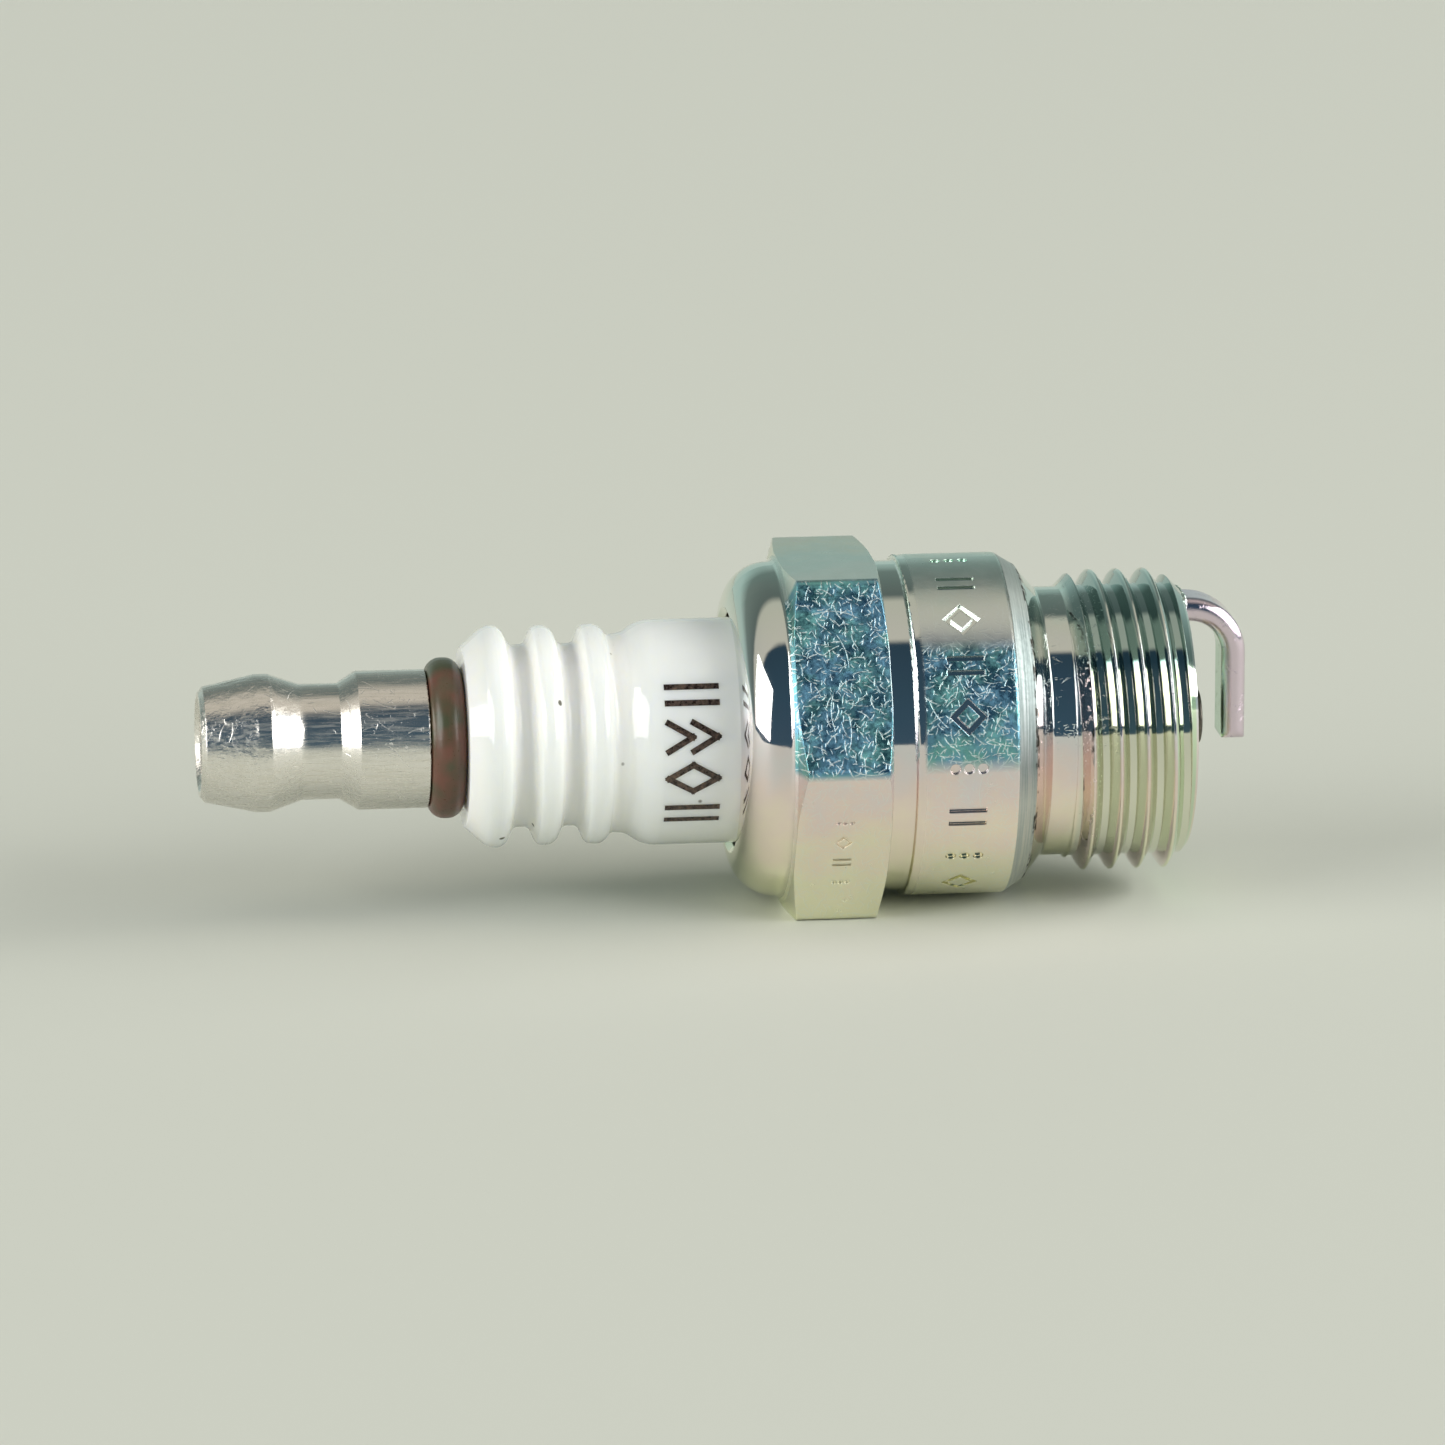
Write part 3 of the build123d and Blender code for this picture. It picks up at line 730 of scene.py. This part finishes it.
def makeInnerFinish(name, dark, light, metallic, roughness, grainPerMm):
    # plain metals and fillings that hardly show: an even, faintly grained surface
    material, tree = newMaterial(name)
    grain = addNode(
        tree, "TexNoise", {"Scale": grainPerMm, "Detail": 4.0}, {"Vector": placeInMm(tree)}
    )
    colours = addNode(tree, "ValToRGB", {"stops": ((0.3, dark), (0.7, light))}, {0: grain})
    rough = addNode(tree, "MapRange", {3: roughness * 0.7, 4: roughness * 1.3}, {0: grain})
    bump = addNode(tree, "Bump", {"Strength": 0.3, "Distance": 0.01 * mm}, {"Height": grain})
    finishMaterial(
        tree, {"Metallic": metallic}, {"Base Color": colours, "Roughness": rough, "Normal": bump}
    )
    return material


def paint(nodeName, material):
    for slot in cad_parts[nodeName].material_slots:
        slot.material = material


zincMaterial = makeZincPlate()
paint("shell", zincMaterial)
paint("ground_electrode", makeZincStrap())
paint("terminal_nut", makeTurnedAluminium())
paint("insulator", makeGlazedAlumina())
paint("terminal_seal_ring", makeMouldedRing())
for nodeName, finish in innerFinishes.items():
    paint(nodeName, makeInnerFinish(*finish))


print("printed marks")
firedInk = {
    "dark": "#2a201b",
    "thin": "#6b5648",
    "stroke": 0.28,  # mm wide
    "radius": 5.2,  # mm, the insulator's body
    "lift": 0.012,  # mm proud of the glaze
    "sink": 0.03,  # mm into it, so that no gap shows
    "span": (-16.25, -14.0),  # mm along the axis
    "height": 1.3,  # mm round the body
    "chevron": 1.1,  # mm along the axis
    "barSpread": 0.6,  # of half the height
    "step": 0.1,  # mm, how finely a stroke follows the round body
    # each mark, and its middle in mm round the body from the line that faces the camera
    "rows": (("bars", 2.95), ("chevrons", 0.98), ("diamond", -0.98), ("bars", -2.95)),
}


def markStrokes(kind, middle):
    # the strokes of one geometric mark, as pairs of (along, round) points in mm
    left, right = firedInk["span"]
    half = firedInk["height"] / 2
    centre = (left + right) / 2
    if kind == "bars":
        spread = half * firedInk["barSpread"]
        return [((left, middle + side), (right, middle + side)) for side in (-spread, spread)]
    if kind == "chevrons":
        tips = ((left + firedInk["chevron"], left), (right, right - firedInk["chevron"]))
        return [((tail, middle + side), (tip, middle)) for tip, tail in tips for side in (-half, half)]
    around = ((left, middle), (centre, middle + half), (right, middle), (centre, middle - half))
    return list(zip(around, around[1:] + around[:1]))


def addStroke(build, start, end):
    # a thin closed strip laid on the round body, with its ends half a stroke past the points
    radius, lift, sink = firedInk["radius"], firedInk["lift"], firedInk["sink"]
    along = Vector((end[0] - start[0], end[1] - start[1]))
    steps = max(2, int(along.length / firedInk["step"]))
    direction = along.normalized()
    across = Vector((-direction.y, direction.x)) * firedInk["stroke"] / 2
    first = Vector(start) - direction * firedInk["stroke"] / 2
    total = Vector(end) + direction * firedInk["stroke"] / 2 - first
    rows = []
    for step in range(steps + 1):
        middle = first + total * step / steps
        low, high = middle - across, middle + across
        row = []
        for point, height in ((low, lift), (high, lift), (high, -sink), (low, -sink)):
            angle = point.y / radius
            reach = radius + height
            spot = Vector((point.x, -reach * math.cos(angle), reach * math.sin(angle)))
            row.append(build.verts.new(spot * mm))
        rows.append(row)
    for before, after in zip(rows, rows[1:]):
        for side in range(4):
            other = (side + 1) % 4
            build.faces.new((before[side], before[other], after[other], after[side]))
    build.faces.new(rows[0])
    build.faces.new(rows[-1])


def addPiece(name, build, material, body):
    # a finished mesh that moves with one of the plug's bodies
    bmesh.ops.recalc_face_normals(build, faces=build.faces)
    mesh = bpy.data.meshes.new(name)
    build.to_mesh(mesh)
    build.free()
    mesh.materials.append(material)
    piece = bpy.data.objects.new(name, mesh)
    bpy.context.scene.collection.objects.link(piece)
    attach(piece, body)


def makeFiredInk():
    # brown-black ceramic ink, thinner and browner where the stamp pressed lightly
    material, tree = newMaterial("firedCeramicInk")
    patchy = addNode(
        tree, "TexNoise", {"Scale": 5.0, "Detail": 4.0, "Roughness": 0.7}, {"Vector": placeInMm(tree)}
    )
    thin = addNode(tree, "MapRange", {1: 0.45, 2: 0.72}, {0: patchy})
    colour = addNode(
        tree, "Mix",
        {"data_type": "RGBA", 6: hexColour(firedInk["dark"]), 7: hexColour(firedInk["thin"])},
        {0: thin},
    )
    rough = addNode(tree, "MapRange", {1: 0.3, 2: 0.7, 3: 0.2, 4: 0.45}, {0: patchy})
    bump = addNode(tree, "Bump", {"Strength": 0.3, "Distance": 0.01 * mm}, {"Height": patchy})
    finishMaterial(tree, None, {"Base Color": colour.outputs[2], "Roughness": rough, "Normal": bump})
    return material


inkMaterial = makeFiredInk()
for place, (kind, middle) in enumerate(firedInk["rows"]):
    mark = bmesh.new()
    for start, end in markStrokes(kind, middle):
        addStroke(mark, start, end)
    addPiece("printed_" + kind + "_" + str(place), mark, inkMaterial, "plug")

print("weld")
strapWeld = {
    "seed": 7,
    "face": 8.05,  # mm along the axis, the shell's end face
    "height": 5.3,  # mm from the axis to the strap's middle
    "halfWidth": 1.3,
    "halfThickness": 0.55,
    "bead": (0.13, 0.24),  # mm, smallest and largest lump
    "proud": 0.04,  # mm, how far the beads' middles stand past the face
    "ripple": 0.35,
    "count": 34,
}


def makeWeld():
    # lumpy rim of metal squeezed out where the strap was resistance-welded
    chance = random.Random(strapWeld["seed"])
    build = bmesh.new()
    halfWidth = strapWeld["halfWidth"]
    halfThickness = strapWeld["halfThickness"]
    around = 4 * (halfWidth + halfThickness)
    for place in range(strapWeld["count"]):
        run = around * (place + chance.uniform(-0.3, 0.3)) / strapWeld["count"] % around
        if run < 2 * halfWidth:
            spot = (run - halfWidth, halfThickness)
        elif run < 2 * halfWidth + 2 * halfThickness:
            spot = (halfWidth, halfThickness - (run - 2 * halfWidth))
        elif run < 4 * halfWidth + 2 * halfThickness:
            spot = (halfWidth - (run - 2 * halfWidth - 2 * halfThickness), -halfThickness)
        else:
            spot = (-halfWidth, run - 4 * halfWidth - 3 * halfThickness)
        size = chance.uniform(*strapWeld["bead"])
        made = bmesh.ops.create_icosphere(build, subdivisions=2, radius=size * mm)
        beadPlace = strapWeld["face"] + strapWeld["proud"]
        centre = Vector((beadPlace, spot[0], strapWeld["height"] + spot[1])) * mm
        stretch = Vector((chance.uniform(0.5, 0.9), chance.uniform(0.8, 1.3), chance.uniform(0.8, 1.2)))
        for vert in made["verts"]:
            ripple = 1 + strapWeld["ripple"] * noise.noise(vert.co / mm * 4 + Vector((place, 0, 0)))
            vert.co = Vector([axis * part * ripple for axis, part in zip(vert.co, stretch)]) + centre
    for face in build.faces:
        face.smooth = True
    addPiece("strap_weld", build, zincMaterial, "plug")


makeWeld()
